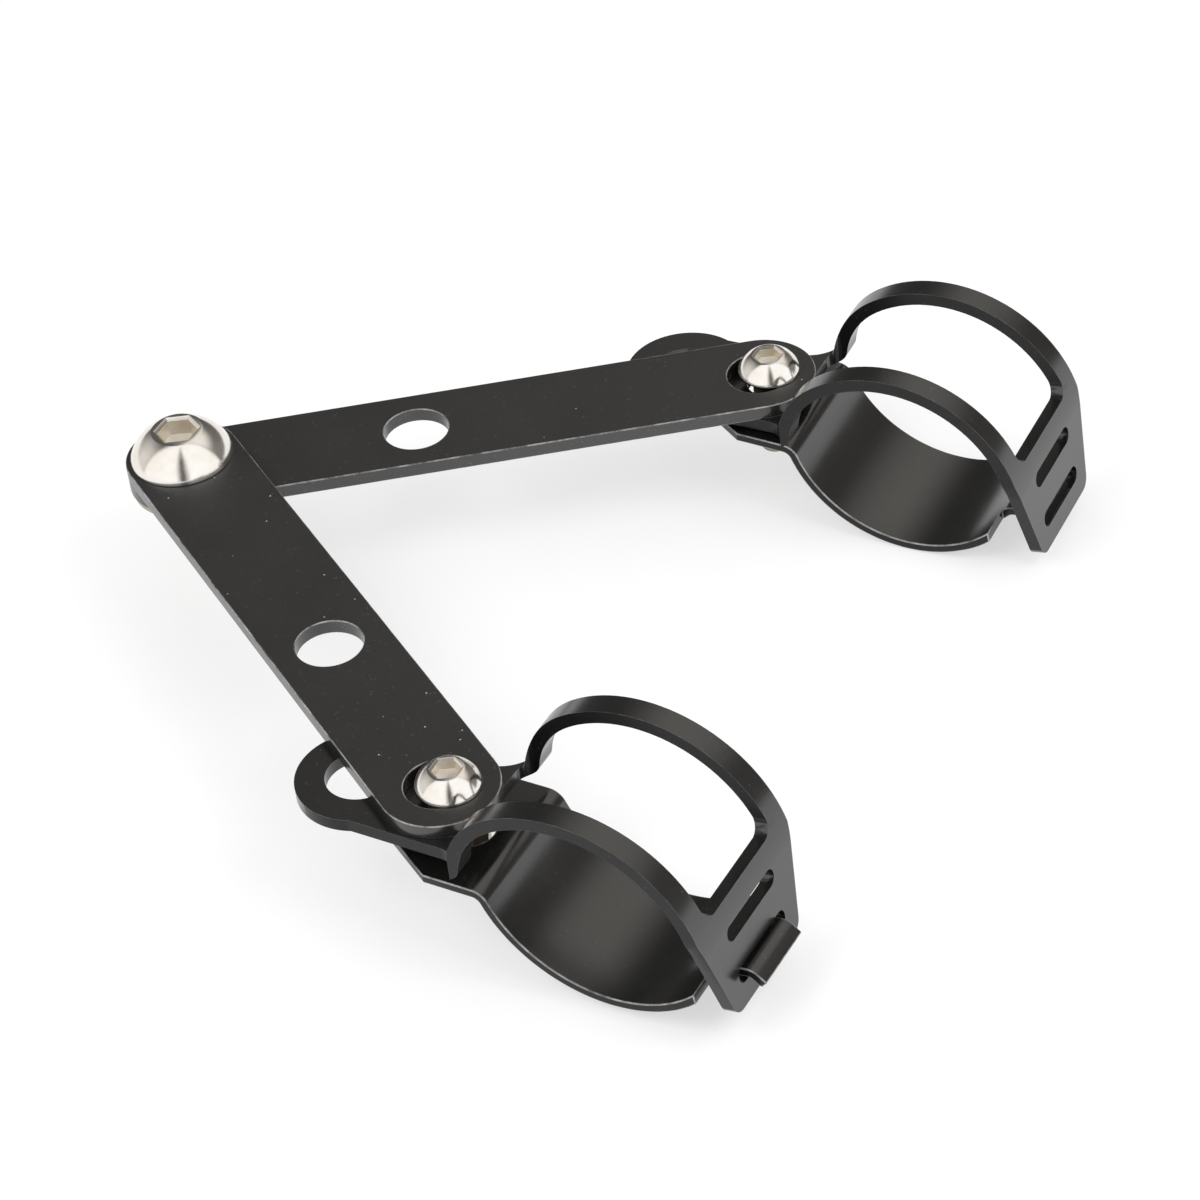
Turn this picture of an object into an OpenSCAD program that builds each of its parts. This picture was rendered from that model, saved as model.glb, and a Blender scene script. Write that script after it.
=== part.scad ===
// Headlight mounting bracket for a motorbike fork: two flat arms joined at a pivot bolt,
// each arm ending in a two-piece clamp bent from strip. X points from the pivot to the
// clamps, Y runs along the fork tube, Z is up through the bolts. Z = 0 is the plane
// where the two arms touch.

/* [Arms] */
// Distance from the pivot hole to the end hole
arm_length = 98.4; // [60:0.1:160]
// Width of an arm
arm_width = 19.2; // [16:0.1:24]
// Sheet thickness of an arm
arm_thick = 2.5; // [1.5:0.1:4]
// Diameter of the holes in an arm
arm_hole_d = 11; // [10.4:0.1:13]
// Distance of the middle hole from the nearer end hole
mid_hole_from_end = 39.5; // [20:0.1:48]
// Angle between the two arms
arm_spread = 70.1; // [40:0.1:100]

/* [Clamp bands] */
// Diameter of the fork tube that the clamp closes on
tube_d = 42; // [36:0.5:46]
// Thickness of the upper band strip
band_thick = 2.2; // [1.5:0.1:2.4]
// Width of the upper band
band_width = 29.2; // [28:0.1:31]
// Thickness of the lower band strip
saddle_thick = 1.5; // [1.4:0.1:1.6]
// Width of the lower band
saddle_width = 24.6; // [22:0.1:26]
// Play between the rear clamp nut and the flange bend of the lower band
nut_play = 1.27; // [0.8:0.01:4]
// Depth of the middle of the upper arch below the plate top
arch_drop = 7.15; // [5:0.05:9]
// Radius of the tight arc above the plate
near_arc_r = 16.5; // [14:0.1:20]
// Angle where the tight arc meets the large arch
near_arc_start = 125; // [115:1:140]
// Inside radius of the bend from plate to arch
plate_bend_r = 0.8; // [0.4:0.1:1.5]

/* [Window and slots] */
// Width of each strap beside the window
strap_width = 4.0; // [3:0.1:6]
// Corner radius of the window
window_corner_r = 2.6; // [1:0.1:4]
// Distance of the window edge above the start of the end plate
window_margin = 4.6; // [4:0.1:7]
// Length of a hook slot
slot_length = 15; // [12:0.1:18]
// Width of a hook slot
slot_width = 3; // [2.8:0.1:4]
// Distance of the first slot down the end plate
slot_first = 0.9; // [0:0.1:2]
// Distance between the two slots
slot_pitch = 8.1; // [6:0.1:10]

/* [End plate] */
// Lean of the end plate from upright
leg_lean = 9; // [0:1:15]
// Length of the end plate
leg_length = 14; // [12:0.1:20]
// Distance above the start of the end plate where the taper starts
taper_start = 3.3; // [0:0.1:5]
// Half width lost at the tip of the end plate
taper_loss = 4.4; // [1:0.1:5]
// Corner radius at the tip of the end plate
tip_corner_r = 2.4; // [1:0.1:3]

/* [Lug plate] */
// Distance from the clamp bolt to the lug hole
lug_reach = 15.4; // [14:0.1:20]
// Diameter of the lug hole
lug_hole_d = 11; // [8:0.1:12]
// Outside radius of the lug eye
lug_r = 10.2; // [9:0.1:12]
// Half width of the plate between lug and arch
plate_half_w = 9.5; // [8:0.1:10]
// Sideways offset of the lug and its plate from the middle of the arch
lug_offset = 1.5; // [0:0.1:2]

/* [Lower band] */
// Outward shift of the lower arc from the upper arch
saddle_shift = 3.9; // [3.4:0.1:4.4]
// Rise of the lower arc centre above the top of its flange
saddle_rise = 6.9; // [6.5:0.1:7.3]
// Inside radius of the flange bend
flange_bend_r = 1.5; // [1:0.1:2]
// Distance from the clamp bolt to where the flange is full width
flange_full = 1.2; // [0:0.1:3]
// Distance of the flange end from the clamp bolt
flange_end = 9.5; // [8:0.1:11]
// Half width of the flange at its end
flange_end_half_w = 5.5; // [4:0.1:7]
// Play of the tongue under the upper wall of its slot
tongue_play = 0.8; // [0.7:0.05:1]
// Width of the hook tongue
tongue_width = 11.8; // [9:0.1:11.8]
// Inside radius of the tongue bends
tongue_bend_r = 1.2; // [0.8:0.1:1.6]
// Angle of the hook below the tongue
hook_angle = 48; // [30:1:70]
// Length of the flat part of the hook
hook_length = 1.8; // [1:0.1:5]

/* [Bolts] */
// Thread diameter of the pivot bolt
pivot_d = 10; // [8:0.5:10]
// Head diameter of the pivot bolt
pivot_head_d = 17.5; // [14:0.1:19]
// Head height of the pivot bolt
pivot_head_h = 5.5; // [4:0.1:6]
// Key size of the pivot bolt
pivot_key = 6; // [5:1:7]
// Diameter of the round nut flange at the pivot
pivot_nut_d = 18.4; // [16:0.1:20]
// Thickness of the round nut flange
pivot_nut_flange = 1.2; // [0.8:0.1:2]
// Outside diameter of the nut collar
pivot_collar_d = 12.6; // [12:0.1:14]
// Height of the nut collar
pivot_collar_h = 2.8; // [2:0.1:5]
// Thread diameter of a clamp bolt
clamp_bolt_d = 6; // [5:0.5:6]
// Head diameter of a clamp bolt
clamp_head_d = 10.8; // [10:0.1:12]
// Head height of a clamp bolt
clamp_head_h = 3.3; // [2.5:0.1:4]
// Key size of a clamp bolt
clamp_key = 4; // [3:1:5]
// Length of a clamp bolt under its head
clamp_bolt_l = 16; // [15.2:0.1:20]
// Clearance hole in the bands for a clamp bolt
band_hole_d = 8; // [7.8:0.1:8.4]
// Length of the bolt slot in the flange of the lower band
flange_slot = 11; // [10.8:0.1:12]
// Width across flats of a clamp nut
clamp_nut_af = 10; // [9:0.5:10]
// Height of a clamp nut
clamp_nut_h = 5; // [3:0.1:5]
// Gap between a thread and its nut, on the radius
thread_gap = 0.05; // [0.03:0.01:0.1]

/* [Clamp places] */
// Open gap between plate and flange at the front clamp bolt
front_gap = 3.4; // [3:0.1:3.8]
// Open gap between plate and flange at the rear clamp bolt
rear_gap = 0.8; // [0.7:0.1:1.2]
// Shift of the rear lower band towards the lug, along the slot for its bolt
rear_back = 2.5; // [1.8:0.1:2.5]
// Shift of the front bands along the tube, within the clearance of their bolt
front_slide = 0.3; // [0:0.1:0.8]
// Shift of the rear bands along the tube, within the clearance of their bolt
rear_slide = 0.6; // [0:0.1:0.8]
// Shift of the front clamp bolt from the middle of the end hole, along X
front_shift_x = 1.4; // [0:0.1:1.6]
// Shift of the front clamp bolt from the middle of the end hole, along Y
front_shift_y = 0.5; // [0:0.1:1]
// Shift of the rear clamp bolt from the middle of the end hole, along X
rear_shift_x = 1.2; // [0:0.1:1.4]
// Shift of the rear clamp bolt from the middle of the end hole, along Y
rear_shift_y = 1.4; // [0:0.1:1.5]
// Turn of the front clamp about its bolt
front_turn = -1.3; // [-5:0.1:5]
// Turn of the rear clamp about its bolt
rear_turn = 1.8; // [-5:0.1:5]

/* [Hidden] */
$fn = 72;
half_spread = arm_spread / 2;
end_x = arm_length * cos(half_spread);
end_y = arm_length * sin(half_spread);
mid_hole_far = arm_length - mid_hole_from_end;

tube_r = tube_d / 2;
arch_r = tube_r + band_thick;
near_c = (arch_r - near_arc_r) * [cos(near_arc_start), sin(near_arc_start)];
plate_bend_z = arch_drop + plate_bend_r;
near_reach = near_arc_r + plate_bend_r;
near_arc_end = 180 - asin((plate_bend_z - near_c[1]) / near_reach);
plate_bend_x = near_c[0] + near_reach * cos(near_arc_end);
window_half_w = band_width / 2 - strap_width;

saddle_r = tube_r + saddle_thick;
saddle_reach = saddle_r + flange_bend_r;
saddle_start = 180 + asin((saddle_rise + saddle_thick + flange_bend_r) / saddle_reach);
flange_bend_x = saddle_shift + saddle_reach * cos(saddle_start);
arch_reach = rear_back + clamp_nut_af / sqrt(3) + nut_play - flange_bend_x;
lug_end_x = -arch_reach - lug_reach - lug_r;
flare_end_x = plate_bend_x + arch_reach + plate_bend_r + 0.5;
slot_second = slot_first + slot_pitch;
tongue_mid = slot_width / 2 - slot_second - tongue_play - saddle_thick / 2;
leg_n = [cos(leg_lean), sin(leg_lean)];
leg_v = [-sin(leg_lean), cos(leg_lean)];
tongue_reach = saddle_r + tongue_bend_r;
tongue_bend_y = tongue_mid - saddle_thick / 2 - tongue_bend_r;
flange_top = arch_drop - band_thick - front_gap;
saddle_c = [saddle_shift, flange_top + saddle_rise];
saddle_end = leg_lean + asin((tongue_bend_y - saddle_c * leg_v) / tongue_reach);
tongue_start = saddle_c * leg_n + tongue_reach * cos(saddle_end - leg_lean);
hook_start_x = arch_r + 0.2;
rear_lift = front_gap - rear_gap;
rear_tilt = asin(rear_lift / (arch_reach + tube_r));
rear_nut_drop = clamp_nut_af / sqrt(3) * tan(rear_tilt) + saddle_thick * (1 / cos(rear_tilt) - 1);

taper_slope = taper_loss / (taper_start + leg_length);
taper_angle = atan(taper_slope);
tip_c = [band_width / 2 - taper_slope * (taper_start + leg_length - tip_corner_r)
    - tip_corner_r / cos(taper_angle), -(leg_length - tip_corner_r)];
tip_t = tip_c + tip_corner_r * [cos(taper_angle), -sin(taper_angle)];
lap = 0.0015;
near_lap = lap * 180 / (PI * near_arc_r);
bend_lap = lap * 180 / (PI * (tongue_bend_r + saddle_thick));

front_place = [end_x + front_shift_x, -end_y + front_shift_y, 0];
rear_place = [end_x + rear_shift_x, end_y + rear_shift_y, -arm_thick];

coat = [0.13, 0.13, 0.13];
steel = [0.78, 0.77, 0.74];

// Sector of a ring from angle a0 to a1
module ring_sector(r_in, r_out, a0, a1) {
    far = 3 * r_out;
    intersection() {
        difference() {
            circle(r_out);
            circle(r_in);
        }
        polygon([[0, 0], far * [cos(a0), sin(a0)],
            far * [cos((2 * a0 + a1) / 3), sin((2 * a0 + a1) / 3)],
            far * [cos((a0 + 2 * a1) / 3), sin((a0 + 2 * a1) / 3)],
            far * [cos(a1), sin(a1)]]);
    }
}

// Slot with round ends, its long side along X
module slot_shape(length, width) {
    square([length - width, width], center = true);
    for (s = [-1, 1]) translate([s * (length - width) / 2, 0]) circle(width / 2, $fn = 32);
}

// Turns a side profile into a strip, its width along Y
module across(width) {
    rotate([90, 0, 0]) linear_extrude(width, center = true) children();
}

// Cut through the end plate, drawn as width against height
module through_leg(x0, x1) {
    rotate([0, -leg_lean, 0]) translate([x0, 0, 0])
        rotate([90, 0, 90]) linear_extrude(x1 - x0) children();
}

// Flat arm with a hole at each end and one between them
module arm(mid_x) {
    linear_extrude(arm_thick) difference() {
        union() {
            translate([0, -arm_width / 2]) square([arm_length, arm_width]);
            circle(arm_width / 2);
            translate([arm_length, 0]) circle(arm_width / 2);
        }
        for (x = [0, mid_x, arm_length]) translate([x, 0]) circle(arm_hole_d / 2);
    }
}

// Side profile of the upper band about the middle of its arch
module upper_profile() {
    ring_sector(tube_r, arch_r, leg_lean, near_arc_start);
    translate(near_c)
        ring_sector(near_arc_r - band_thick, near_arc_r, near_arc_start - near_lap, near_arc_end);
    translate([plate_bend_x, plate_bend_z])
        ring_sector(plate_bend_r, plate_bend_r + band_thick, -90, near_arc_end - 180);
    translate([lug_end_x, arch_drop - band_thick]) square([plate_bend_x - lug_end_x, band_thick]);
    rotate(leg_lean) translate([tube_r, -leg_length]) square([band_thick, leg_length]);
}

// Plan outline of the plate with its lug eye, flaring out to the straps
module plate_plan() {
    w = band_width / 2;
    translate([-lug_reach, -lug_offset]) circle(lug_r);
    translate([-lug_reach, -lug_offset - plate_half_w])
        square([lug_reach + flare_end_x, 2 * plate_half_w]);
    for (s = [-1, 1]) {
        r = w - plate_half_w + s * lug_offset;
        difference() {
            translate([flare_end_x - r, s > 0 ? -1 : -w]) square([r + 100, w + 1]);
            translate([flare_end_x - r, s * w]) circle(r);
        }
    }
}

// Outline of the end plate: width along X, height along Y
module leg_outline() {
    w = band_width / 2;
    polygon([[-w - taper_slope, taper_start + 1], [-tip_t[0], tip_t[1]], tip_c - [2 * tip_c[0], 0],
        [-tip_c[0], -leg_length], [tip_c[0], -leg_length], tip_c, tip_t,
        [w + taper_slope, taper_start + 1]]);
    for (s = [-1, 1]) translate([s * tip_c[0], tip_c[1]]) circle(tip_corner_r);
}

// Cut of the window through the arch, from the plate bend round to the end plate
module window_cut() {
    w = window_half_w;
    r = window_corner_r;
    difference() {
        across(2 * w) polygon([[plate_bend_x, 2], 5 * leg_n + window_margin * leg_v,
            40 * leg_n + window_margin * leg_v, [60, 60], [plate_bend_x, 60]]);
        for (s = [-1, 1]) {
            translate([plate_bend_x + r, s * (w - r), 0]) linear_extrude(30) corner_fill(-1, s);
            through_leg(8, 60) translate([s * (w - r), window_margin + r]) corner_fill(s, -1);
        }
    }
}

// What a round corner leaves of its square, towards the signs given
module corner_fill(sx, sy) {
    r = window_corner_r;
    difference() {
        translate([sx * (r + 1) / 2, sy * (r + 1) / 2]) square(r + 1, center = true);
        translate(0.03 * [sx, sy]) circle(r);
    }
}

module upper_band(slide) {
    difference() {
        intersection() {
            translate([arch_reach, 0, -arch_drop]) across(band_width) upper_profile();
            translate([0, 0, -60]) linear_extrude(120) plate_plan();
        }
        translate([arch_reach, 0, -arch_drop]) {
            window_cut();
            through_leg(10, 40) translate([0, -slot_first]) slot_shape(slot_length, slot_width);
            through_leg(10, 40) translate([0, -slot_second]) slot_shape(slot_length, slot_width);
            through_leg(10, 40) difference() {
                translate([-30, -leg_length - 5]) square([60, leg_length + 6 + taper_start]);
                leg_outline();
            }
        }
        translate([0, -slide, -10]) cylinder(h = 20, r = band_hole_d / 2);
        translate([-lug_reach, -lug_offset, -10]) cylinder(h = 20, r = lug_hole_d / 2);
    }
}

// Side profile of the lower band: flange, bend, saddle, tongue and hook
module lower_profile(hooked) {
    translate([-arch_reach - flange_end, flange_top - saddle_thick])
        square([arch_reach + flange_end + flange_bend_x, saddle_thick]);
    translate([flange_bend_x, flange_top - saddle_thick - flange_bend_r])
        ring_sector(flange_bend_r, flange_bend_r + saddle_thick, saddle_start - 180, 90);
    translate(saddle_c) ring_sector(tube_r, saddle_r, saddle_start - 360, saddle_end);
    rotate(leg_lean) {
        translate([tongue_start, tongue_bend_y])
            ring_sector(tongue_bend_r, tongue_bend_r + saddle_thick,
                90, 180 + saddle_end - leg_lean + bend_lap);
        translate([tongue_start, tongue_mid - saddle_thick / 2])
            square([(hooked ? hook_start_x + lap : arch_r + rear_back - 0.6) - tongue_start, saddle_thick]);
        if (hooked) translate([hook_start_x, tongue_bend_y]) {
            ring_sector(tongue_bend_r, tongue_bend_r + saddle_thick, 90 - hook_angle, 90);
            rotate(-hook_angle) translate([-lap, tongue_bend_r])
                square([hook_length + lap, saddle_thick]);
        }
    }
}

// Plan outline of the lower band flange
module flange_plan() {
    w = saddle_width / 2;
    polygon([[-flange_end, -flange_end_half_w], [-flange_end, flange_end_half_w],
        [flange_full, w], [100, w], [100, -w], [flange_full, -w]]);
}

module lower_band(slide, hooked) {
    difference() {
        intersection() {
            translate([arch_reach, 0, -arch_drop]) across(saddle_width) lower_profile(hooked);
            translate([0, 0, -60]) linear_extrude(120) flange_plan();
        }
        translate([arch_reach, 0, -arch_drop]) rotate([0, -leg_lean, 0])
            for (s = [-1, 1])
                translate([tongue_start - 1.9, s * (tongue_width + 20) / 2 - 10, -40])
                    cube([30, 20, 60]);
        translate([rear_back / 2, -slide, -20]) linear_extrude(20)
            slot_shape(flange_slot, band_hole_d);
    }
}

// Domed head with a hexagon socket, seated on Z = 0, and its shank below
module button_bolt(d, head_d, head_h, key, length) {
    rim = 0.08 * head_h;
    flat_r = 0.7 * key;
    dome_z = (flat_r * flat_r + head_h * head_h - head_d * head_d / 4 - rim * rim)
        / (2 * (head_h - rim));
    dome_r = norm([flat_r, head_h - dome_z]);
    difference() {
        rotate_extrude() {
            square([head_d / 2, rim]);
            intersection() {
                translate([0, dome_z]) circle(dome_r, $fn = 180);
                translate([0, rim]) square([head_d / 2, head_h - rim]);
            }
            translate([0, 0.7 - length]) square([d / 2, length - 0.7]);
            polygon([[0, -length], [d / 2 - 0.7, -length], [d / 2, 0.7 - length], [0, 0.7 - length]]);
        }
        translate([0, 0, 0.4 * head_h]) cylinder(h = head_h, r = key / sqrt(3), $fn = 6);
        rotate_extrude() polygon([[0, head_h + 1], [0, head_h - 0.12 * key],
            [0.5 * key, head_h - 0.12 * key], [0.62 * key, head_h], [0.62 * key, head_h + 1]]);
    }
}

module headlight_bolt() {
    color(steel) translate([0, 0, arm_thick])
        button_bolt(pivot_d, pivot_head_d, pivot_head_h, pivot_key,
            2 * arm_thick + pivot_nut_flange + pivot_collar_h - 0.2);
}

module headlight_nut() {
    color(steel) translate([0, 0, -arm_thick]) mirror([0, 0, 1]) difference() {
        union() {
            cylinder(h = pivot_nut_flange, r = pivot_nut_d / 2);
            cylinder(h = pivot_nut_flange + pivot_collar_h, r = pivot_collar_d / 2);
        }
        translate([0, 0, -1]) cylinder(h = 20, r = pivot_d / 2 + thread_gap);
    }
}

module clamp_bolt() {
    translate([0, 0, arm_thick])
        button_bolt(clamp_bolt_d, clamp_head_d, clamp_head_h, clamp_key, clamp_bolt_l);
}

module clamp_nut(gap) {
    translate([0, 0, -band_thick - gap - saddle_thick - clamp_nut_h]) difference() {
        intersection() {
            cylinder(h = clamp_nut_h, r = clamp_nut_af / sqrt(3), $fn = 6);
            rotate_extrude() polygon([[0, 0], [0.52 * clamp_nut_af, 0],
                [0.6 * clamp_nut_af, 0.046 * clamp_nut_af], [0.6 * clamp_nut_af, clamp_nut_h],
                [0, clamp_nut_h]]);
        }
        translate([0, 0, -1]) cylinder(h = clamp_nut_h + 2, r = clamp_bolt_d / 2 + thread_gap);
    }
}

module front_arm() {
    color(coat) rotate(-half_spread) arm(mid_hole_far);
}

module rear_arm() {
    color(coat) rotate(half_spread) translate([0, 0, -arm_thick]) arm(mid_hole_from_end);
}

module at_front() {
    translate(front_place) rotate(front_turn) children();
}

module at_rear() {
    translate(rear_place) rotate(rear_turn) children();
}

module front_upper_band() {
    color(coat) at_front() translate([0, front_slide, 0]) upper_band(front_slide);
}

module front_lower_band() {
    color(coat) at_front() translate([0, front_slide, 0])
        lower_band(front_slide, true);
}

module front_clamp_bolt() {
    color(steel) at_front() clamp_bolt();
}

module front_clamp_nut() {
    color(steel) at_front() clamp_nut(front_gap);
}

module rear_upper_band() {
    color(coat) at_rear() translate([0, rear_slide, 0]) upper_band(rear_slide);
}

module rear_lower_band() {
    flange_z = -band_thick - front_gap;
    color(coat) at_rear() translate([0, rear_slide, flange_z + rear_lift])
        rotate([0, rear_tilt, 0]) translate([-rear_back, 0, -flange_z])
            lower_band(rear_slide, false);
}

module rear_clamp_bolt() {
    color(steel) at_rear() clamp_bolt();
}

module rear_clamp_nut() {
    color(steel) at_rear() clamp_nut(rear_gap + rear_nut_drop);
}

front_arm();
rear_arm();
headlight_bolt();
headlight_nut();
front_upper_band();
front_lower_band();
front_clamp_bolt();
front_clamp_nut();
rear_upper_band();
rear_lower_band();
rear_clamp_bolt();
rear_clamp_nut();
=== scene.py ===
import bmesh
import bpy
import math
from mathutils import Matrix, Vector


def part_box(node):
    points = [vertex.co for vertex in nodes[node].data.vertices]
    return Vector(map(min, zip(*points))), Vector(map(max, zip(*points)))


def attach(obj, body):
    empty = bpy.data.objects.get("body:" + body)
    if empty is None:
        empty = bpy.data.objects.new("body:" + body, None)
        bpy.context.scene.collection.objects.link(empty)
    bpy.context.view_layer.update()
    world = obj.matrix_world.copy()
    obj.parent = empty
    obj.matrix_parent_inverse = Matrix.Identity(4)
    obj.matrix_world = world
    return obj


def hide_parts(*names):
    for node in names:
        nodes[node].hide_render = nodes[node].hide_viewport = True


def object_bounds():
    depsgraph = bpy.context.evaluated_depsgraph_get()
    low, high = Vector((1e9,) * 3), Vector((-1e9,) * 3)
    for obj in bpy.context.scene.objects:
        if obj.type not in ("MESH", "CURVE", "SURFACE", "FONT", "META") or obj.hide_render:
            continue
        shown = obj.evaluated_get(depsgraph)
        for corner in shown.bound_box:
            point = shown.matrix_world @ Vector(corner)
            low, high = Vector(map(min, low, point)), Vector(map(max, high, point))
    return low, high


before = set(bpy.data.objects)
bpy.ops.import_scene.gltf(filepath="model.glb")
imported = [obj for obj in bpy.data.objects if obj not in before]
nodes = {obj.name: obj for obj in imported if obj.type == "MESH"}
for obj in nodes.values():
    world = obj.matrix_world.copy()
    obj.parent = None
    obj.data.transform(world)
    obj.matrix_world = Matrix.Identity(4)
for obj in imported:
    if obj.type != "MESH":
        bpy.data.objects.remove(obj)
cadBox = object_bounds()
print("frame loaded:", len(nodes), "nodes")


def newMaterial(name):
    mat = bpy.data.materials.new(name)
    mat.use_nodes = True
    tree = mat.node_tree
    shader = tree.nodes["Principled BSDF"]
    return mat, tree, shader


def objectCoords(tree):
    return tree.nodes.new("ShaderNodeTexCoord").outputs["Object"]


# fine noise, with its size in metres
def noiseNode(tree, coords, size, detail=4.0, rough=0.55):
    tex = tree.nodes.new("ShaderNodeTexNoise")
    tex.inputs["Scale"].default_value = 1.0 / size
    tex.inputs["Detail"].default_value = detail
    tex.inputs["Roughness"].default_value = rough
    tree.links.new(coords, tex.inputs["Vector"])
    return tex.outputs["Fac"]


# distance to the nearest point of a scattered set, for specks
def dotNode(tree, coords, size):
    tex = tree.nodes.new("ShaderNodeTexVoronoi")
    tex.inputs["Scale"].default_value = 1.0 / size
    tree.links.new(coords, tex.inputs["Vector"])
    return tex.outputs["Distance"]


# colour ramp: stops are pairs of a place and a tone, and a plain number is a gray
def rampNode(tree, value, stops):
    ramp = tree.nodes.new("ShaderNodeValToRGB")
    elements = ramp.color_ramp.elements
    while len(elements) < len(stops):
        elements.new(0.5)
    for element, (place, tone) in zip(elements, stops):
        element.position = place
        element.color = (*tone, 1.0) if isinstance(tone, tuple) else (tone, tone, tone, 1.0)
    tree.links.new(value, ramp.inputs["Fac"])
    return ramp.outputs["Color"]


def mixColor(tree, factor, a, b):
    mix = tree.nodes.new("ShaderNodeMix")
    mix.data_type = "RGBA"
    tree.links.new(factor, mix.inputs["Factor"])
    for socket, tone in ((mix.inputs[6], a), (mix.inputs[7], b)):
        if isinstance(tone, tuple):
            socket.default_value = (*tone, 1.0)
        else:
            tree.links.new(tone, socket)
    return mix.outputs[2]


# one sum: each value is a plain number or another node's output
def mathNode(tree, operation, *values):
    node = tree.nodes.new("ShaderNodeMath")
    node.operation = operation
    for socket, value in zip(node.inputs, values):
        if isinstance(value, float):
            socket.default_value = value
        else:
            tree.links.new(value, socket)
    return node.outputs["Value"]


def smoothStep(tree, value, start, end):
    step = tree.nodes.new("ShaderNodeMapRange")
    step.interpolation_type = "SMOOTHSTEP"
    step.inputs["From Min"].default_value = start
    step.inputs["From Max"].default_value = end
    tree.links.new(value, step.inputs["Value"])
    return step.outputs["Result"]


# roughness that wanders between two shares of its plain value
def unevenRoughness(tree, shader, noise, roughness, shares, stops=(0.30, 0.72)):
    span = rampNode(tree, noise, tuple(
        (place, roughness * share) for place, share in zip(stops, shares)))
    tree.links.new(span, shader.inputs["Roughness"])


def addBump(tree, shader, height, strength, depth):
    bump = tree.nodes.new("ShaderNodeBump")
    bump.inputs["Strength"].default_value = strength
    bump.inputs["Distance"].default_value = depth
    tree.links.new(height, bump.inputs["Height"])
    tree.links.new(bump.outputs["Normal"], shader.inputs["Normal"])


# black coat: tones of the faces, the cut sides (painted light on the arms' sides, painted shade on
# the bands' sides) and the rubbed strip along the edges, which also carries a painted highlight
coatTones = {
    "armCoat": {"base": (0.0120, 0.0117, 0.0113), "roughness": 0.38, "shine": 1.0},
    # painted light: the arms' cut sides get a lighter base than their faces, for the shine they
    # catch
    "armCutPaintedLight": {"base": (0.0160, 0.0157, 0.0153), "roughness": 0.24, "shine": 1.0},
    "bandCoat": {"base": (0.0078, 0.0077, 0.0075), "roughness": 0.20, "shine": 1.0},
    # painted shade: the bands' cut sides get a darker base than their faces
    "bandCutPaintedShade": {"base": (0.0062, 0.0061, 0.0059), "roughness": 0.24, "shine": 0.30},
    "rubbedEdgeHighlight": {"base": (0.0160, 0.0157, 0.0153), "roughness": 0.24, "shine": 1.0},
}

# what the coats have in common: sizes in metres, stops as places and shares of a ramp
coatLook = {
    "cloudSize": 0.021,
    "cloudStops": (0.30, 0.70),
    "cloudSpan": (0.84, 1.18),
    "smearSize": 0.009,
    "smearSpan": (0.86, 1.14),
    "grainSize": 0.00042,
    "grainDepth": 0.000014,
    "grainStrength": 0.40,
    # powder: painted glints, spots made lighter in the base colour
    "powderGlintSize": 0.00075,
    "powderGlintStops": ((0.10, 0.8), (0.26, 0.0)),
    "powderGlintPatch": 0.0013,
    "powderGlintPatchStops": ((0.52, 0.0), (0.62, 1.0)),
    "powderGlintGain": 6.0,
    # the rubbed strip's light tone is worn coat and also a painted highlight along the edges
    "rubbedHighlightPatch": 0.0036,
    "rubbedHighlightStops": ((0.38, 0.10), (0.64, 1.0)),
    "rubbedHighlightTone": (0.34, 0.334, 0.322),
    "speckSize": 0.0030,
    "speckStops": ((0.030, 1.0), (0.060, 0.0)),
    "speckPatch": 0.026,
    "speckPatchStops": ((0.48, 0.0), (0.58, 1.0)),
    "speckTone": (0.46, 0.44, 0.40),
}


# black coat: fine orange peel, slight tone changes and painted pin-point glints of the powder
def coatMaterial(name, base, roughness, shine):
    mat, tree, shader = newMaterial(name)
    coords = objectCoords(tree)
    cloud = noiseNode(tree, coords, coatLook["cloudSize"], 3.0)
    color = rampNode(tree, cloud, tuple(
        (place, tuple(share * v for v in base))
        for place, share in zip(coatLook["cloudStops"], coatLook["cloudSpan"])))

    # the strip along an edge is rubbed down to a lighter tone in places, and this lighter tone is
    # also a painted highlight along the edge
    if name == "rubbedEdgeHighlight":
        patch = noiseNode(tree, coords, coatLook["rubbedHighlightPatch"], 6.0, 0.70)
        wornAndHighlit = rampNode(tree, patch, coatLook["rubbedHighlightStops"])
        color = mixColor(tree, wornAndHighlit, color, coatLook["rubbedHighlightTone"])

    # painted glints of the powder: lighter spots in the base colour, in patches
    glint = rampNode(tree, dotNode(tree, coords, coatLook["powderGlintSize"]), coatLook["powderGlintStops"])
    patch = noiseNode(tree, coords, coatLook["powderGlintPatch"], 2.0)
    where = rampNode(tree, patch, coatLook["powderGlintPatchStops"])
    color = mixColor(tree, mathNode(tree, "MULTIPLY", glint, where), color,
                     tuple(coatLook["powderGlintGain"] * v for v in base))

    # a few specks of dust on the arms
    if name == "armCoat":
        speck = rampNode(tree, dotNode(tree, coords, coatLook["speckSize"]),
                         coatLook["speckStops"])
        patch = noiseNode(tree, coords, coatLook["speckPatch"], 3.0)
        where = rampNode(tree, patch, coatLook["speckPatchStops"])
        color = mixColor(tree, mathNode(tree, "MULTIPLY", speck, where), color,
                         coatLook["speckTone"])

    tree.links.new(color, shader.inputs["Base Color"])
    shader.inputs["Specular IOR Level"].default_value = shine
    unevenRoughness(tree, shader, noiseNode(tree, coords, coatLook["smearSize"]),
                    roughness, coatLook["smearSpan"])
    addBump(tree, shader, noiseNode(tree, coords, coatLook["grainSize"], 3.0),
            coatLook["grainStrength"], coatLook["grainDepth"])
    return mat


# polished stainless bolts
steelLook = {
    "tone": (0.87, 0.85, 0.82),
    "warmTone": (0.82, 0.76, 0.68),
    "roughness": 0.16,
    "ringSize": 0.00032,
}

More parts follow.
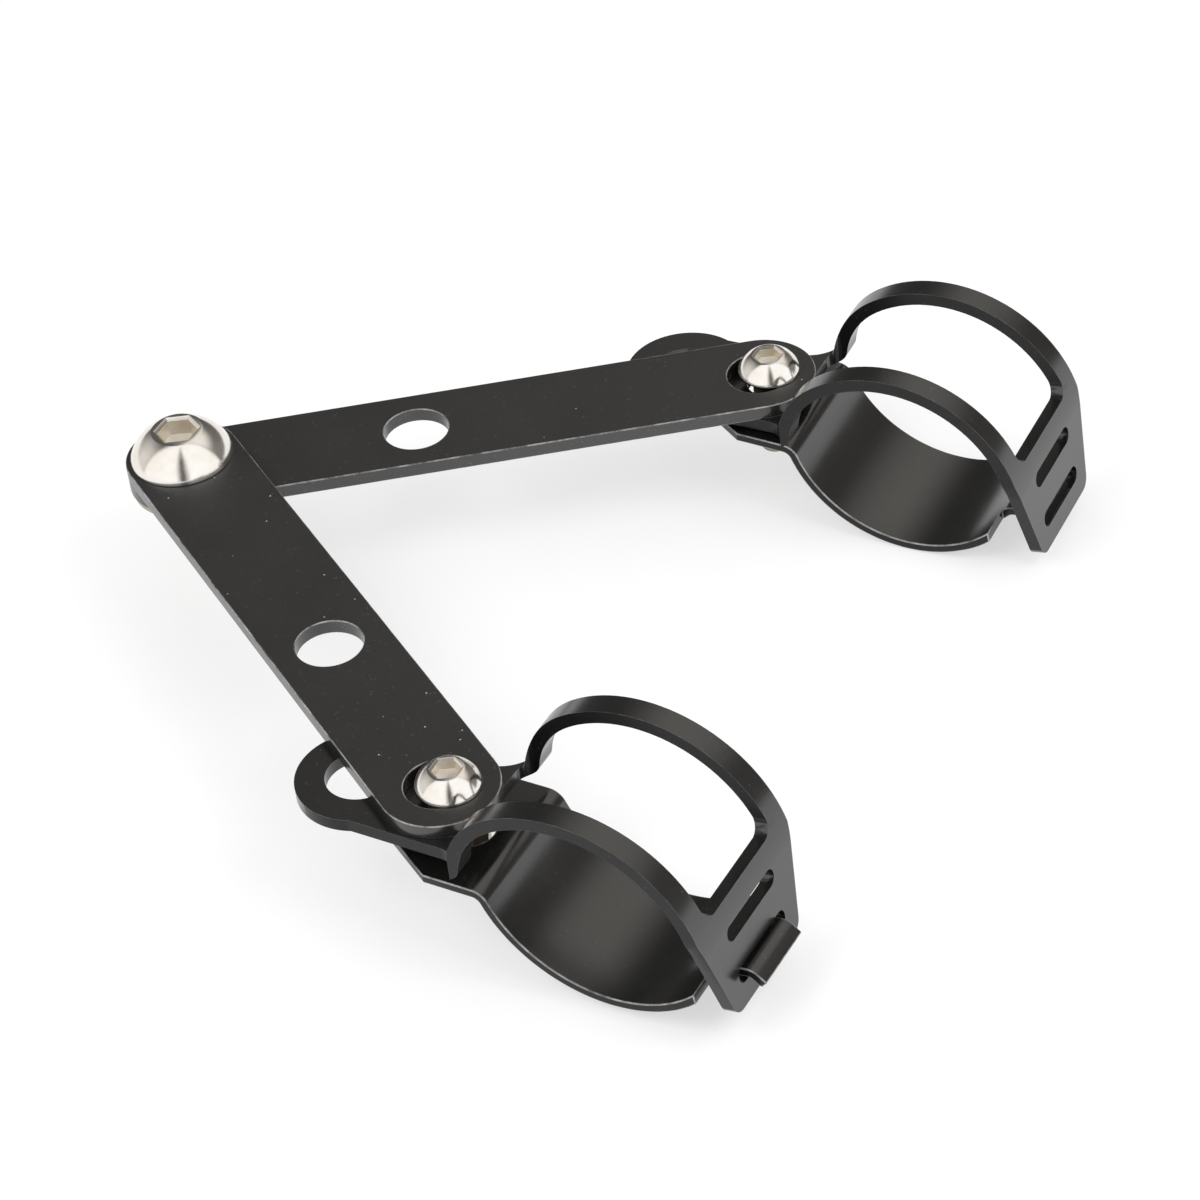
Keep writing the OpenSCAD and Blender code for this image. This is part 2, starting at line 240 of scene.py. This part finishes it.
# zinc coated nuts with a warm tint
nutLook = {
    "tone": (0.50, 0.44, 0.35),
    "warmTone": (0.42, 0.35, 0.26),
    "roughness": 0.36,
    "ringSize": 0.00040,
}

# hexagon sockets, broached and a little warmer than the heads
socketLook = {
    "tone": (0.92, 0.88, 0.81),
    "warmTone": (0.84, 0.76, 0.64),
    "roughness": 0.40,
    "ringSize": 0.00040,
}

# rolled threads, duller and browner than the heads; their dark tone is painted shade, for the
# shadow they sit in below the parts they hold
shadedThreadLook = {
    "tone": (0.36, 0.32, 0.27),
    "warmTone": (0.25, 0.20, 0.15),
    "roughness": 0.42,
    "ringSize": 0.00040,
}

# what all the metal has in common, sizes in metres
metalLook = {
    "cloudSize": 0.0040,
    "cloudStops": (0.32, 0.60),
    "fineSize": 0.0011,
    "fineSpan": (0.8, 1.3),
    "ringWarp": 0.5,
    "ringDepth": 0.000006,
    "ringStrength": 0.10,
}


# bright metal with faint turning rings about its own axis
def metalMaterial(name, place, look):
    mat, tree, shader = newMaterial(name)
    shader.inputs["Metallic"].default_value = 1.0
    centre = tree.nodes.new("ShaderNodeMapping")
    centre.inputs["Location"].default_value = (-place[0], -place[1], -place[2])
    tree.links.new(objectCoords(tree), centre.inputs["Vector"])
    local = centre.outputs["Vector"]
    rings = tree.nodes.new("ShaderNodeTexWave")
    rings.wave_type = "RINGS"
    rings.rings_direction = "Z"
    rings.inputs["Scale"].default_value = 0.05 / look["ringSize"]
    rings.inputs["Distortion"].default_value = metalLook["ringWarp"]
    rings.inputs["Detail"].default_value = 2.0
    tree.links.new(local, rings.inputs["Vector"])
    cloud = noiseNode(tree, local, metalLook["cloudSize"], 3.0)
    tone = rampNode(tree, cloud, tuple(
        zip(metalLook["cloudStops"], (look["warmTone"], look["tone"]))))
    tree.links.new(tone, shader.inputs["Base Color"])
    unevenRoughness(tree, shader, noiseNode(tree, local, metalLook["fineSize"]),
                    look["roughness"], metalLook["fineSpan"])
    addBump(tree, shader, rings.outputs["Fac"], metalLook["ringStrength"], metalLook["ringDepth"])
    return mat


# edges of the sheet pieces and nuts: radii in metres, angles in degrees
edgeLook = {
    "armRadius": 0.00018,
    "bandRadius": 0.00024,
    "nutRadius": 0.00012,
    "sheetAngle": 35.0,
    "nutAngle": 25.0,
    "segments": 2,
    "joinGap": 0.000002,
    "flatAngle": 0.4,
    "faceWeight": 90,
    "armCutTilt": 0.5,
    "bandCutTilt": 0.9,
}


# gives a sheet its coats: faces, cut sides with a painted tone (lighter on the arms, darker on the
# bands) and the strip that the bevel makes
def dressSheet(name, faceCoat, paintedCutCoat, isCut):
    mesh = nodes[name].data
    mesh.materials.clear()
    for coat in (faceCoat, paintedCutCoat, "rubbedEdgeHighlight"):
        mesh.materials.append(coats[coat])
    for face in mesh.polygons:
        face.material_index = 1 if isCut(face) else 0


# rounds the sharp edges of a node and shades its faces evenly
def finishNode(obj, radius, angle, strip):
    mesh = obj.data
    mesh.polygons.foreach_set("use_smooth", [True] * len(mesh.polygons))
    weld = obj.modifiers.new("join", "WELD")
    weld.merge_threshold = edgeLook["joinGap"]
    clean = obj.modifiers.new("flatFaces", "DECIMATE")
    clean.decimate_type = "DISSOLVE"
    clean.angle_limit = math.radians(edgeLook["flatAngle"])
    clean.delimit = {"MATERIAL"}
    bevel = obj.modifiers.new("softEdges", "BEVEL")
    bevel.width = radius
    bevel.segments = edgeLook["segments"]
    bevel.limit_method = "ANGLE"
    bevel.angle_limit = math.radians(angle)
    bevel.material = strip
    even = obj.modifiers.new("evenShade", "WEIGHTED_NORMAL")
    even.mode = "FACE_AREA"
    even.weight = edgeLook["faceWeight"]


coats = {name: coatMaterial(name, **tones) for name, tones in coatTones.items()}
for name in ("front_arm", "rear_arm"):
    dressSheet(name, "armCoat", "armCutPaintedLight",
               lambda face: abs(face.normal.z) < edgeLook["armCutTilt"])
    finishNode(nodes[name], edgeLook["armRadius"], edgeLook["sheetAngle"], 2)
for name in ("front_upper_band", "front_lower_band", "rear_upper_band", "rear_lower_band"):
    dressSheet(name, "bandCoat", "bandCutPaintedShade",
               lambda face: abs(face.normal.y) > edgeLook["bandCutTilt"])
    finishNode(nodes[name], edgeLook["bandRadius"], edgeLook["sheetAngle"], 2)
for name in ("headlight_nut", "front_clamp_nut", "rear_clamp_nut"):
    low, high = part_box(name)
    foot = ((low[0] + high[0]) / 2, (low[1] + high[1]) / 2, low[2])
    nodes[name].data.materials.clear()
    nodes[name].data.materials.append(metalMaterial(name + "Zinc", foot, nutLook))
    finishNode(nodes[name], edgeLook["nutRadius"], edgeLook["nutAngle"], -1)
print("arms, bands and nuts dressed")

# button head bolts, sizes in metres as on the solids they stand for
boltSizes = {
    "headlight_bolt": {"thread": 0.010, "pitch": 0.0015, "head": 0.0175, "height": 0.0055,
                       "key": 0.006, "plain": 0.0042, "body": "front_arm"},
    "front_clamp_bolt": {"thread": 0.006, "pitch": 0.0010, "head": 0.0108, "height": 0.0033,
                         "key": 0.004, "plain": 0.0030, "body": "front_clamp"},
    "rear_clamp_bolt": {"thread": 0.006, "pitch": 0.0010, "head": 0.0108, "height": 0.0033,
                        "key": 0.004, "plain": 0.0030, "body": "rear_clamp"},
}

# form of every bolt: shares of the head's height, of the key or of the pitch, else metres
boltLook = {
    "around": 96,
    "domeRings": 14,
    "discShare": 0.15,
    "rimShare": 0.08,
    "rimRound": 0.00014,
    "crownShare": 0.7,
    "lipShare": 0.085,
    "lipRings": ((1.16, 0.0), (1.13, 0.15), (1.02, 0.85), (1.0, 1.0)),
    "socketDepth": 0.6,
    "socketRound": 0.00002,
    "socketReach": 0.6,
    "floorReach": 0.97,
    "drillReach": 0.42,
    "drillTip": 0.05,
    "drillDepth": 0.11,
    "threadDepth": 0.60,
    "threadSteps": 32,
    "crestInset": 0.00002,
    "tipLead": 0.0003,
    "overlap": 0.0002,
    "mergeGap": 0.000002,
    "cutGap": 0.0000001,
    "creaseAngle": 32.0,
}

# one tooth of the thread: share of its depth, share of the pitch
threadTooth = ((0, 0), (0, 0.12), (1, 0.46), (1, 0.60), (0, 0.94), (0, 1.0))


# distance from the middle to the side of a hexagon, for a direction
def hexReach(angle, key):
    turn = (angle + math.pi / 6) % (math.pi / 3) - math.pi / 6
    return key / 2 / math.cos(turn)


# moves a ring of points out to the reach given for each direction
def placeRing(verts, reachOf, height):
    for vert in verts:
        angle = math.atan2(vert.co.y, vert.co.x)
        reach = reachOf(angle)
        vert.co = (reach * math.cos(angle), reach * math.sin(angle), height)


# rings of the head from its seat up over the dome and down into the socket
def headRings(size):
    head, height, key = size["head"] / 2, size["height"], size["key"]
    rim = boltLook["rimShare"] * height
    crown = boltLook["crownShare"] * key
    domeZ = (crown ** 2 + height ** 2 - head ** 2 - rim ** 2) / (2 * (height - rim))
    domeR = math.hypot(crown, height - domeZ)
    floor = height * (1 - boltLook["socketDepth"])
    lip = boltLook["lipShare"] * key
    rings = [("round", head - boltLook["rimRound"], 0), ("round", head, boltLook["rimRound"]),
             ("round", head, rim)]
    for i in range(1, boltLook["domeRings"] + 1):
        radius = head + (crown - head) * i / boltLook["domeRings"]
        rings.append(("round", radius, domeZ + math.sqrt(domeR ** 2 - radius ** 2)))
    # the lip leads into the hexagon, then its wall, its floor and the drill point
    rings += [("hex", reach, height - share * lip) for reach, share in boltLook["lipRings"]]
    rings += [("hex", 1.0, floor),
              ("hex", boltLook["floorReach"], floor - boltLook["socketRound"]),
              ("round", boltLook["drillReach"] * key, floor - 3 * boltLook["socketRound"]),
              ("round", boltLook["drillTip"] * key, floor - boltLook["drillDepth"] * key)]
    return rings


# the head is grown ring by ring from a disc on its seat
def buildHead(bm, size):
    made = bmesh.ops.create_circle(bm, cap_ends=False, segments=boltLook["around"],
                                   radius=boltLook["discShare"] * size["head"])
    edges = bm.edges[:]
    bmesh.ops.contextual_create(bm, geom=made["verts"])
    for form, reach, height in headRings(size):
        grown = bmesh.ops.extrude_edge_only(bm, edges=edges)
        verts = [g for g in grown["geom"] if isinstance(g, bmesh.types.BMVert)]
        fresh = set(verts)
        edges = [g for g in grown["geom"] if isinstance(g, bmesh.types.BMEdge)
                 and g.verts[0] in fresh and g.verts[1] in fresh]
        if form == "round":
            placeRing(verts, lambda angle: reach, height)
        else:
            placeRing(verts, lambda angle: reach * hexReach(angle, size["key"]), height)
    bmesh.ops.contextual_create(bm, geom=verts)


# plain neck under the head
def buildNeck(bm, size):
    extra = boltLook["overlap"]
    made = bmesh.ops.create_cone(bm, cap_ends=True, cap_tris=False, segments=boltLook["around"],
                                 radius1=size["thread"] / 2, radius2=size["thread"] / 2,
                                 depth=size["plain"] + 2 * extra)
    bmesh.ops.translate(bm, verts=made["verts"], vec=(0, 0, extra - size["plain"] / 2))


# thread: a screwed sweep of one tooth, cut flat at both ends
def buildThread(bm, size):
    crest, pitch, length = size["thread"] / 2, size["pitch"], size["length"]
    root = crest - boltLook["threadDepth"] * pitch
    depth = crest - boltLook["crestInset"] - root
    turns = math.ceil(length / pitch) + 2
    steps = boltLook["threadSteps"]
    start = -length - pitch
    verts = [bm.verts.new((root + rise * depth, 0, start + run * pitch))
             for rise, run in threadTooth]
    edges = [bm.edges.new(pair) for pair in zip(verts, verts[1:])]
    bmesh.ops.spin(bm, geom=verts + edges, cent=(0, 0, 0), axis=(0, 0, 1),
                   dvec=(0, 0, pitch / steps), angle=2 * math.pi * turns,
                   steps=steps * turns, use_merge=False, use_duplicate=False)
    bmesh.ops.remove_doubles(bm, verts=bm.verts, dist=boltLook["mergeGap"])
    for height, side in ((-length, -1), (boltLook["overlap"] - size["plain"], 1)):
        cut = bmesh.ops.bisect_plane(bm, geom=bm.verts[:] + bm.edges[:] + bm.faces[:],
                                     dist=boltLook["cutGap"], plane_co=(0, 0, height),
                                     plane_no=(0, 0, side), clear_outer=True)
        rim = [g for g in cut["geom_cut"] if isinstance(g, bmesh.types.BMEdge)]
        bmesh.ops.edgeloop_fill(bm, edges=rim)
    # the tip is chamfered, so the thread runs out on a small cone
    for vert in bm.verts:
        most = root - boltLook["tipLead"] + vert.co.z + length
        radius = math.hypot(vert.co.x, vert.co.y)
        if radius > most > 0:
            vert.co.x *= most / radius
            vert.co.y *= most / radius


# slot of a face: head 0, neck and thread 1, inside of the socket 2
def faceSlot(face, build, size):
    if build is not buildHead:
        return 1
    centre = face.calc_center_median()
    near = math.hypot(centre.x, centre.y) < boltLook["socketReach"] * size["key"]
    underLip = size["height"] - centre.z > 1.05 * boltLook["lipShare"] * size["key"]
    aboveSeat = centre.z > boltLook["rimRound"] / 2
    return 2 if near and underLip and aboveSeat else 0


# head, neck and thread are closed shapes of their own that reach into each other
def makeBolt(nodeName, size):
    low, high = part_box(nodeName)
    seat = high[2] - size["height"]
    size = dict(size, length=seat - low[2])
    middle = ((low[0] + high[0]) / 2, (low[1] + high[1]) / 2)
    whole = bmesh.new()
    for build in (buildHead, buildNeck, buildThread):
        bm = bmesh.new()
        build(bm, size)
        bmesh.ops.recalc_face_normals(bm, faces=bm.faces)
        if bm.calc_volume(signed=True) < 0:
            bmesh.ops.reverse_faces(bm, faces=bm.faces)
        for face in bm.faces:
            face.smooth = True
            face.material_index = faceSlot(face, build, size)
        shape = bpy.data.meshes.new(nodeName + "Part")
        bm.to_mesh(shape)
        bm.free()
        whole.from_mesh(shape)
        bpy.data.meshes.remove(shape)
    bmesh.ops.translate(whole, verts=whole.verts, vec=(middle[0], middle[1], seat))
    mesh = bpy.data.meshes.new(nodeName + "Shape")
    whole.to_mesh(mesh)
    whole.free()
    top = (middle[0], middle[1], high[2])
    for label, look in (("Head", steelLook), ("Thread", shadedThreadLook), ("Socket", socketLook)):
        mesh.materials.append(metalMaterial(nodeName + label, top, look))
    piece = bpy.data.objects.new(nodeName.replace("_bolt", "_screw"), mesh)
    bpy.context.scene.collection.objects.link(piece)
    split = piece.modifiers.new("creases", "EDGE_SPLIT")
    split.split_angle = math.radians(boltLook["creaseAngle"])
    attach(piece, size["body"])
    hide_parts(nodeName)
    return piece


for nodeName, size in boltSizes.items():
    piece = makeBolt(nodeName, size)
    print(piece.name, len(piece.data.polygons), "faces")

# pale floor: sizes in metres, tones as the camera and gloss see them
floorLook = {
    "drop": 0.0002,
    "size": 2.4,
    "roughness": 0.9,
    "tone": 0.92,
    "seenTone": 0.40,
    "lift": 0.58,
    "farLift": 0.16,
    "farStart": 0.30,
    "farEnd": 0.75,
}


# the floor keeps the shadow, and shows white to the camera and in gloss
def makeFloor():
    mat, tree, shader = newMaterial("paleFloor")
    shader.inputs["Roughness"].default_value = floorLook["roughness"]
    shader.inputs["Specular IOR Level"].default_value = 0.0
    shader.inputs["Emission Color"].default_value = (1.0, 1.0, 1.0, 1.0)
    path = tree.nodes.new("ShaderNodeLightPath")
    seen = mathNode(tree, "MAXIMUM", path.outputs["Is Camera Ray"], path.outputs["Is Glossy Ray"])
    # it brightens outwards, so no horizon shows against the white behind it
    reach = tree.nodes.new("ShaderNodeVectorMath")
    reach.operation = "LENGTH"
    tree.links.new(objectCoords(tree), reach.inputs[0])
    outwards = smoothStep(tree, reach.outputs["Value"], floorLook["farStart"], floorLook["farEnd"])
    raised = mathNode(tree, "MULTIPLY_ADD", outwards, floorLook["farLift"], floorLook["lift"])
    tree.links.new(mathNode(tree, "MULTIPLY", seen, raised), shader.inputs["Emission Strength"])
    tone = mixColor(tree, seen, (floorLook["tone"],) * 3, (floorLook["seenTone"],) * 3)
    tree.links.new(tone, shader.inputs["Base Color"])
    bpy.ops.mesh.primitive_plane_add(size=floorLook["size"])
    floor = bpy.context.object
    floor.name = "studioFloor"
    floor.location = (cadBox[1][0] / 2, 0, cadBox[0][2] - floorLook["drop"])
    floor.data.materials.append(mat)


# camera of the photograph: millimetres, metres and degrees
cameraLook = {
    "focal": 124.77,
    "sensor": 36.0,
    "nearest": 0.01,
    "place": (0.3504, -0.4420, 0.4217),
    "target": (0.0839, -0.0092, 0.0025),
    "roll": -7.19,
}


def makeCamera():
    data = bpy.data.cameras.new("photoCamera")
    data.lens = cameraLook["focal"]
    data.sensor_width = cameraLook["sensor"]
    data.clip_start = cameraLook["nearest"]
    cam = bpy.data.objects.new("photoCamera", data)
    place = Vector(cameraLook["place"])
    look = (Vector(cameraLook["target"]) - place).to_track_quat("-Z", "Y")
    roll = Matrix.Rotation(math.radians(cameraLook["roll"]), 4, "Z")
    cam.matrix_world = Matrix.Translation(place) @ look.to_matrix().to_4x4() @ roll
    bpy.context.scene.collection.objects.link(cam)
    bpy.context.scene.camera = cam


def towardsCamera():
    way = Vector(cameraLook["place"]) - Vector(cameraLook["target"])
    way.z = 0
    return way.normalized()


# two soft boxes: watts, metres, and degrees from the camera and above the floor
boxLook = {
    "power": 1.5,
    "side": 0.34,
    "turn": 55.0,
    "lift": 50.0,
    "reach": 0.70,
}


# a soft box on each side of the camera, turned to the object and not seen in gloss
def makeSoftBoxes():
    target = Vector(cameraLook["target"])
    lift = math.radians(boxLook["lift"])
    for label, turn in (("left", -boxLook["turn"]), ("right", boxLook["turn"])):
        way = Matrix.Rotation(math.radians(turn), 3, "Z") @ towardsCamera()
        place = target + boxLook["reach"] * Vector((
            way.x * math.cos(lift), way.y * math.cos(lift), math.sin(lift)))
        lamp = bpy.data.lights.new(label + "SoftBox", "AREA")
        lamp.energy = boxLook["power"]
        lamp.shape = "RECTANGLE"
        lamp.size = lamp.size_y = boxLook["side"]
        obj = bpy.data.objects.new(label + "SoftBox", lamp)
        obj.location = place
        obj.rotation_euler = (target - place).to_track_quat("-Z", "Y").to_euler()
        obj.visible_glossy = False
        bpy.context.scene.collection.objects.link(obj)


# the room that gloss sees: ramps run from left to right, spans are smooth steps
roomLook = {
    "ambient": 0.82,
    "gain": 1.25,
    "wall": ((0.05, (0.62, 0.60, 0.57)), (0.24, (0.085, 0.083, 0.080)),
             (0.66, (0.075, 0.072, 0.068)), (0.96, (0.17, 0.16, 0.145))),
    "farWindow": (0.74, 0.71, 0.66),
    "farWindowAside": (-0.22, 0.34),
    "farWindowHeight": (0.40, 0.74),
    "windows": ((0.05, (0.06, 0.058, 0.055)), (0.26, 0.98), (0.90, 0.92)),
    "nearSide": (-0.10, 0.10),
    "horizon": (0.80, 0.80, 0.80),
    "horizonHeight": (0.07, 0.0),
}


def axisValue(tree, coords, axis):
    dot = tree.nodes.new("ShaderNodeVectorMath")
    dot.operation = "DOT_PRODUCT"
    dot.inputs[1].default_value = tuple(axis)
    tree.links.new(coords, dot.inputs[0])
    return dot.outputs["Value"]


# white behind the object; what gloss sees is a room with a window on each side of the
# camera, a narrow dark gap between them and a darker, warmer far side
def makeWorld():
    world = bpy.data.worlds.new("studioWorld")
    bpy.context.scene.world = world
    world.use_nodes = True
    tree = world.node_tree
    back = tree.nodes["Background"]
    coords = tree.nodes.new("ShaderNodeTexCoord").outputs["Generated"]
    front = towardsCamera()
    ahead = axisValue(tree, coords, front)
    aside = axisValue(tree, coords, (-front.y, front.x, 0))
    height = axisValue(tree, coords, (0, 0, 1))
    # far side: dark, with a soft warm window high on the right
    farWindow = mathNode(tree, "MULTIPLY",
                         smoothStep(tree, aside, *roomLook["farWindowAside"]),
                         smoothStep(tree, height, *roomLook["farWindowHeight"]))
    across = tree.nodes.new("ShaderNodeMapRange")
    across.inputs["From Min"].default_value = -1.0
    across.inputs["From Max"].default_value = 1.0
    tree.links.new(aside, across.inputs["Value"])
    wall = rampNode(tree, across.outputs["Result"], roomLook["wall"])
    far = mixColor(tree, farWindow, wall, roomLook["farWindow"])
    # near side: two windows, the gap between them widens downwards
    azimuth = mathNode(tree, "DIVIDE", mathNode(tree, "ABSOLUTE", aside),
                       smoothStep(tree, ahead, 0.0, 1.0))
    near = rampNode(tree, azimuth, roomLook["windows"])
    room = mixColor(tree, smoothStep(tree, ahead, *roomLook["nearSide"]), far, near)
    room = mixColor(tree, smoothStep(tree, height, *roomLook["horizonHeight"]),
                    room, roomLook["horizon"])
    gain = tree.nodes.new("ShaderNodeVectorMath")
    gain.operation = "SCALE"
    gain.inputs["Scale"].default_value = roomLook["gain"]
    tree.links.new(room, gain.inputs[0])
    path = tree.nodes.new("ShaderNodeLightPath")
    lit = mixColor(tree, path.outputs["Is Glossy Ray"], (roomLook["ambient"],) * 3,
                   gain.outputs["Vector"])
    seen = mixColor(tree, path.outputs["Is Camera Ray"], lit, (1.0, 1.0, 1.0))
    tree.links.new(seen, back.inputs["Color"])
    back.inputs["Strength"].default_value = 1.0


makeFloor()
makeSoftBoxes()
makeCamera()
makeWorld()
bpy.context.scene.view_settings.view_transform = "Standard"
print("stage, lamps and camera set")
